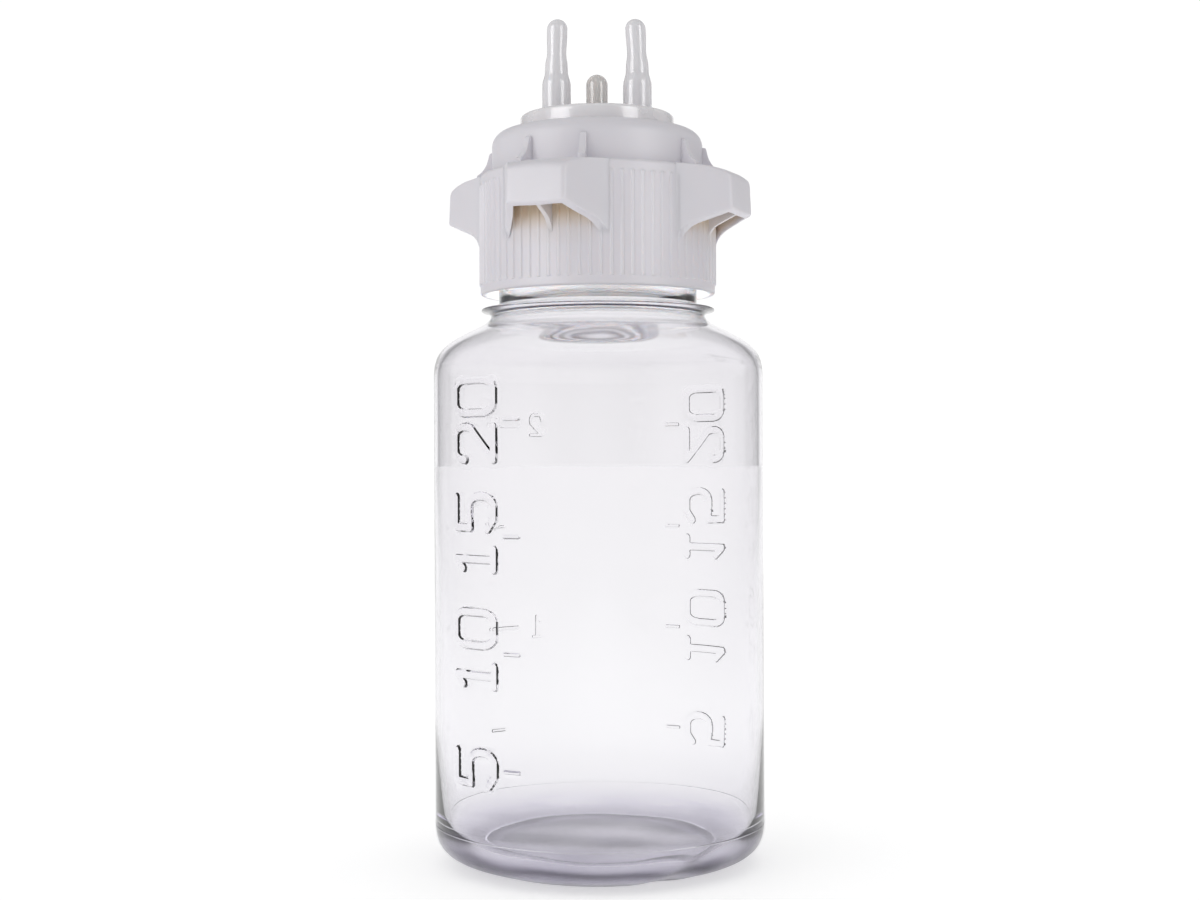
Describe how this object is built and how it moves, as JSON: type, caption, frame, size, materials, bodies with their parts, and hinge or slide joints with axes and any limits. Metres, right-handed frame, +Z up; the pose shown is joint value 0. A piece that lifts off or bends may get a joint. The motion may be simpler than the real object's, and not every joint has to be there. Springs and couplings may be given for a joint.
{
  "type": "calf feeding bottle",
  "caption": "Clear wide-mouth feeding bottle with volume marks, a lugged screw ring, and a captive port plate with capped hose stems and a capped vent.",
  "frame": {"origin": "centre of the flat ring that the bottle stands on", "axes": "+Z up along the bottle's axis; the two hose stems lie along X"},
  "size_m": [0.127, 0.127, 0.3253],
  "materials": {
    "clear_body": "clear, glossy, faint violet tint",
    "white_ring": "moulded, satin, slightly translucent",
    "natural_plate": "unpigmented, translucent",
    "seal": "soft, matt",
    "soft_cap": "soft, translucent, smooth",
    "vent_cap": "soft, clear, greyish"
  },
  "bodies": {
    "bottle": {"bottle": "clear_body"},
    "lid": {"port_plate": "natural_plate", "mouth_gasket": "seal"},
    "screw_cap": {"screw_cap": "white_ring"},
    "hose_cap_left": {"hose_cap_left": "soft_cap"},
    "hose_cap_right": {"hose_cap_right": "soft_cap"},
    "vent_cap": {"vent_cap": "vent_cap"}
  },
  "joints": [
    {"name": "lid_lift", "type": "slide", "parent": "bottle", "child": "lid", "axis": [0, 0, 1], "range_m": [0, 0.0091]},
    {"name": "cap_turn", "type": "hinge", "parent": "lid", "child": "screw_cap", "pos_m": [0, 0, 0.25], "axis": [0, 0, 1], "range_deg": [0, 540]},
    {"name": "hose_cap_left_pull", "type": "slide", "parent": "lid", "child": "hose_cap_left", "axis": [0, 0, 1], "range_m": [0, 0.034]},
    {"name": "hose_cap_right_pull", "type": "slide", "parent": "lid", "child": "hose_cap_right", "axis": [0, 0, 1], "range_m": [0, 0.034]},
    {"name": "vent_cap_pull", "type": "slide", "parent": "lid", "child": "vent_cap", "axis": [0, 0, 1], "range_m": [0, 0.014]}
  ],
  "couplings": [
    {"joint": "lid_lift", "follows": "cap_turn", "m_per_rad": 0.00095493}
  ]
}
